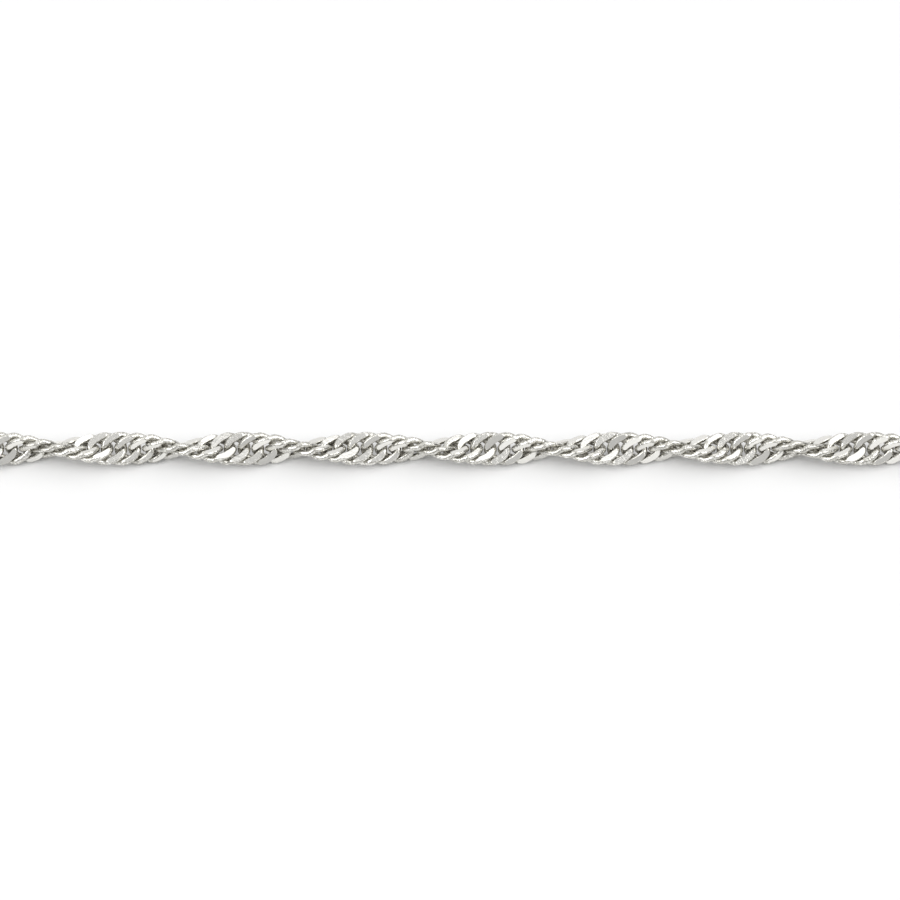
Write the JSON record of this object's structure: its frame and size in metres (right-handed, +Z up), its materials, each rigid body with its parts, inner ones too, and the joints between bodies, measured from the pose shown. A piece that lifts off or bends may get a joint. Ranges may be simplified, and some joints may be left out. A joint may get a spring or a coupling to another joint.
{
  "type": "singapore chain necklace",
  "caption": "Fine twisted singapore chain necklace, closed in a loop and lying flat, with spring-ring style clasp, jump ring and end ring at the back.",
  "frame": {"origin": "middle of the closed loop on the surface that the chain lies on", "axes": "+X along the straight front, +Y from the front to the clasp at the back, +Z up from the surface"},
  "size_m": [0.1636, 0.1216, 0.0032],
  "materials": {
    "chain_silver": "polished, diamond cut",
    "ring_silver": "polished",
    "clasp_silver": "polished"
  },
  "bodies": {
    "root": {"chain": "chain_silver", "jump_ring": "ring_silver", "end_ring": "ring_silver", "clasp": "clasp_silver"}
  },
  "joints": []
}
